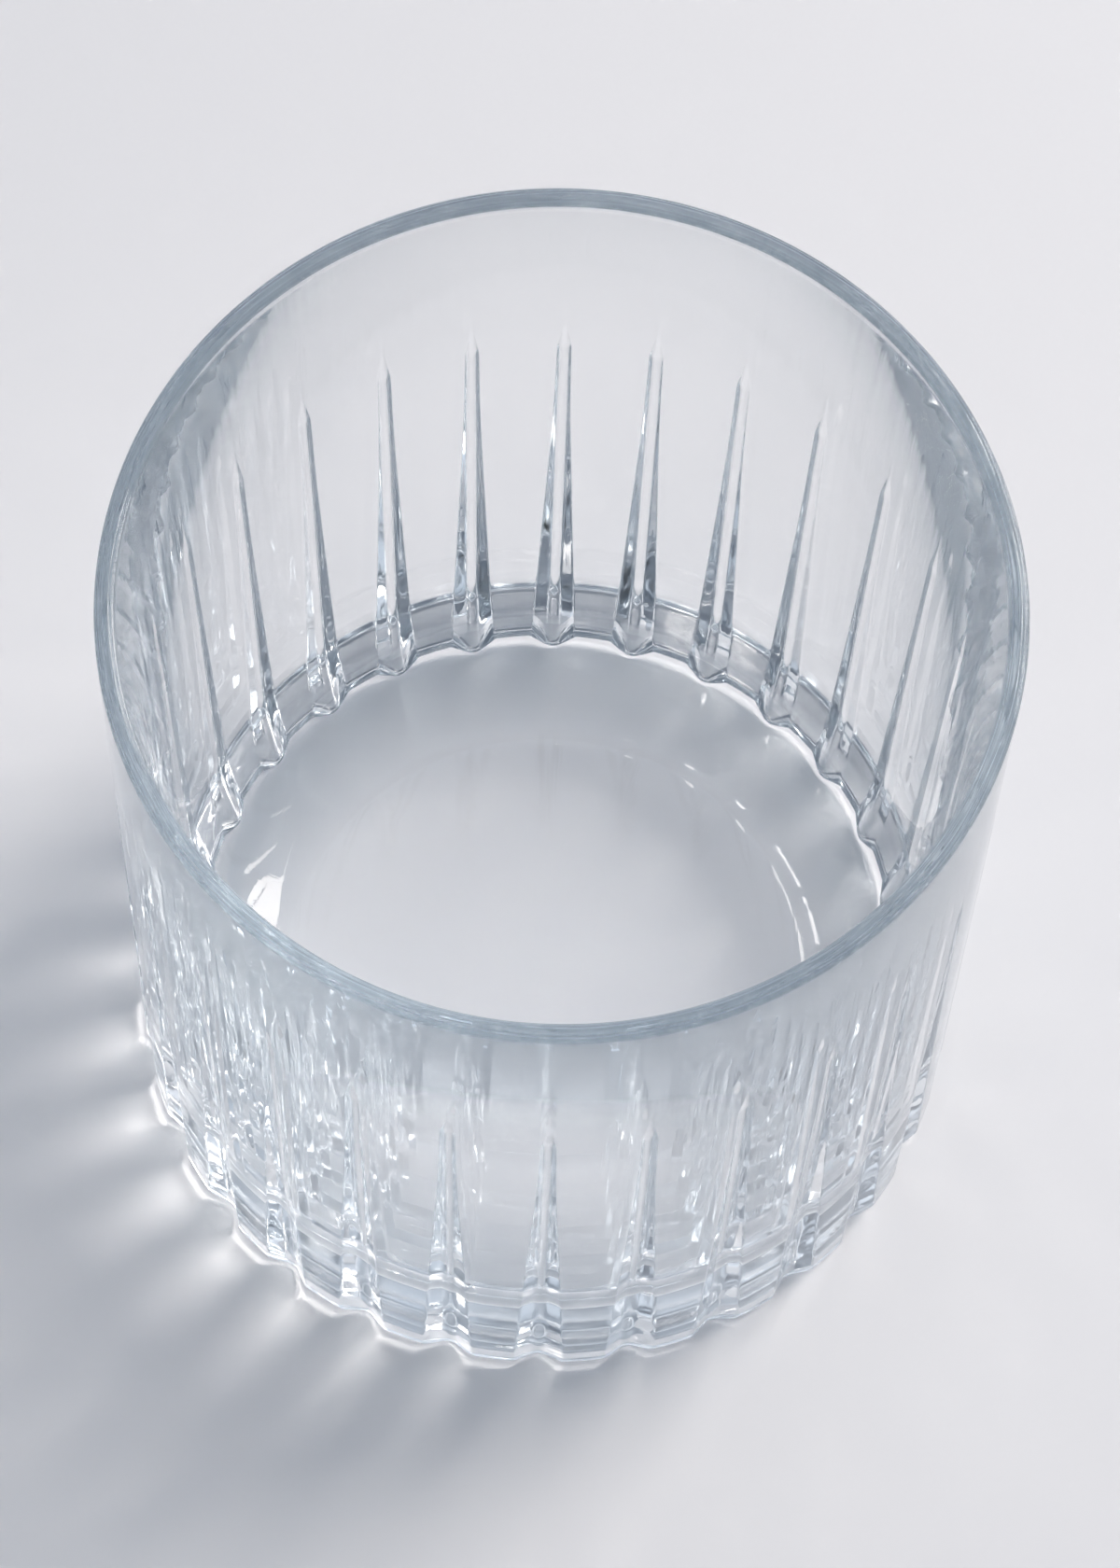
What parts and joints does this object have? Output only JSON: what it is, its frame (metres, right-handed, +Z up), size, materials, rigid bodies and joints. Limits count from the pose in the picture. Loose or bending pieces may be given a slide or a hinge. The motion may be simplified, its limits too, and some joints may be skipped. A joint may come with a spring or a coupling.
{
  "type": "rocks glass",
  "caption": "Clear pressed rocks glass with a heavy base, slim vertical flutes that widen towards the foot, a plain drinking band and a rounded lip.",
  "frame": {"origin": "centre of the foot, on the surface that the glass stands on", "axes": "+Z up along the glass's axis, from the foot to the lip"},
  "size_m": [0.084, 0.084, 0.0935],
  "materials": {
    "clear_glass": "clear colourless pressed glass, fire-polished, very slightly cool"
  },
  "bodies": {
    "root": {"foot_ring": "clear_glass", "base": "clear_glass", "lower_wall": "clear_glass", "fluted_wall": "clear_glass", "plain_band": "clear_glass", "rim": "clear_glass"}
  },
  "joints": []
}
